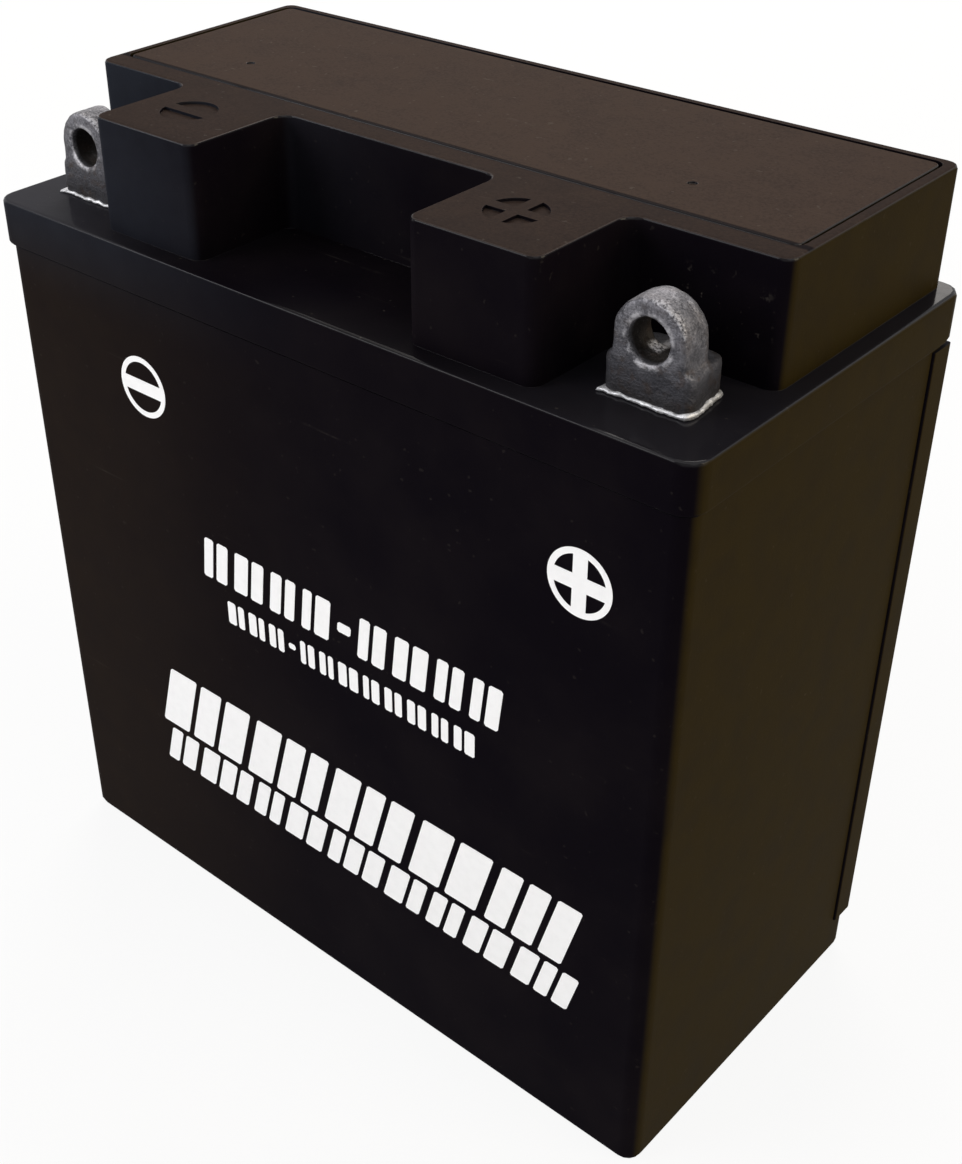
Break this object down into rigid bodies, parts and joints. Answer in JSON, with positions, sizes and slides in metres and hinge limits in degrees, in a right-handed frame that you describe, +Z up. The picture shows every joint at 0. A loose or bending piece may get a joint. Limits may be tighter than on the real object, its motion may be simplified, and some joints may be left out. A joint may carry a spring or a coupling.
{
  "type": "motorcycle battery",
  "caption": "Sealed motorcycle battery: black ribless case and stepped lid with two towers, recessed terminal bays, cast lead eye lugs and a lift-off vent cover over rubber valves.",
  "frame": {"origin": "middle of the underside of the case", "axes": "+X along the length towards the positive terminal, the printed face and the terminals look towards -Y, +Z up"},
  "size_m": [0.12, 0.0596, 0.13],
  "materials": {
    "case_plastic": "fine moulded satin, near black",
    "lid_plastic": "smooth moulded, a soft gloss",
    "cover_plastic": "fine spark-eroded texture",
    "cap_rubber": "matt moulded rubber",
    "seal_rubber": "smooth rubber",
    "cast_lead": null,
    "post_resin": "poured sealing resin",
    "positive_paste": null,
    "negative_paste": null,
    "glass_mat": "white absorbent glass-fibre mat"
  },
  "bodies": {
    "battery": {"case": "case_plastic", "lid": "lid_plastic", "terminal_negative": "cast_lead", "terminal_positive": "cast_lead", "post_negative": "cast_lead", "post_positive": "cast_lead", "post_seal_negative": "seal_rubber", "post_seal_positive": "seal_rubber", "post_resin_negative": "post_resin", "post_resin_positive": "post_resin", "positive_plate_group_1": "positive_paste", "positive_plate_group_2": "positive_paste", "positive_plate_group_3": "positive_paste", "positive_plate_group_4": "positive_paste", "positive_plate_group_5": "positive_paste", "positive_plate_group_6": "positive_paste", "negative_plate_group_1": "negative_paste", "negative_plate_group_2": "negative_paste", "negative_plate_group_3": "negative_paste", "negative_plate_group_4": "negative_paste", "negative_plate_group_5": "negative_paste", "negative_plate_group_6": "negative_paste", "separator_1": "glass_mat", "separator_2": "glass_mat", "separator_3": "glass_mat", "separator_4": "glass_mat", "separator_5": "glass_mat", "separator_6": "glass_mat", "intercell_weld_1": "cast_lead", "intercell_weld_2": "cast_lead", "intercell_weld_3": "cast_lead", "intercell_weld_4": "cast_lead", "intercell_weld_5": "cast_lead"},
    "vent_cover": {"vent_cover": "cover_plastic"},
    "valve_1": {"valve_1": "cap_rubber"},
    "valve_2": {"valve_2": "cap_rubber"},
    "valve_3": {"valve_3": "cap_rubber"},
    "valve_4": {"valve_4": "cap_rubber"},
    "valve_5": {"valve_5": "cap_rubber"},
    "valve_6": {"valve_6": "cap_rubber"}
  },
  "joints": [
    {"name": "cover_lift", "type": "slide", "parent": "battery", "child": "vent_cover", "axis": [0, 0, 1], "range_m": [0, 0.02]},
    {"name": "valve_1_lift", "type": "slide", "parent": "battery", "child": "valve_1", "axis": [0, 0, 1], "range_m": [0, 0.0005], "stiffness_N_per_m": 1000, "springref_m": -0.0005},
    {"name": "valve_2_lift", "type": "slide", "parent": "battery", "child": "valve_2", "axis": [0, 0, 1], "range_m": [0, 0.0005], "stiffness_N_per_m": 1000, "springref_m": -0.0005},
    {"name": "valve_3_lift", "type": "slide", "parent": "battery", "child": "valve_3", "axis": [0, 0, 1], "range_m": [0, 0.0005], "stiffness_N_per_m": 1000, "springref_m": -0.0005},
    {"name": "valve_4_lift", "type": "slide", "parent": "battery", "child": "valve_4", "axis": [0, 0, 1], "range_m": [0, 0.0005], "stiffness_N_per_m": 1000, "springref_m": -0.0005},
    {"name": "valve_5_lift", "type": "slide", "parent": "battery", "child": "valve_5", "axis": [0, 0, 1], "range_m": [0, 0.0005], "stiffness_N_per_m": 1000, "springref_m": -0.0005},
    {"name": "valve_6_lift", "type": "slide", "parent": "battery", "child": "valve_6", "axis": [0, 0, 1], "range_m": [0, 0.0005], "stiffness_N_per_m": 1000, "springref_m": -0.0005}
  ]
}
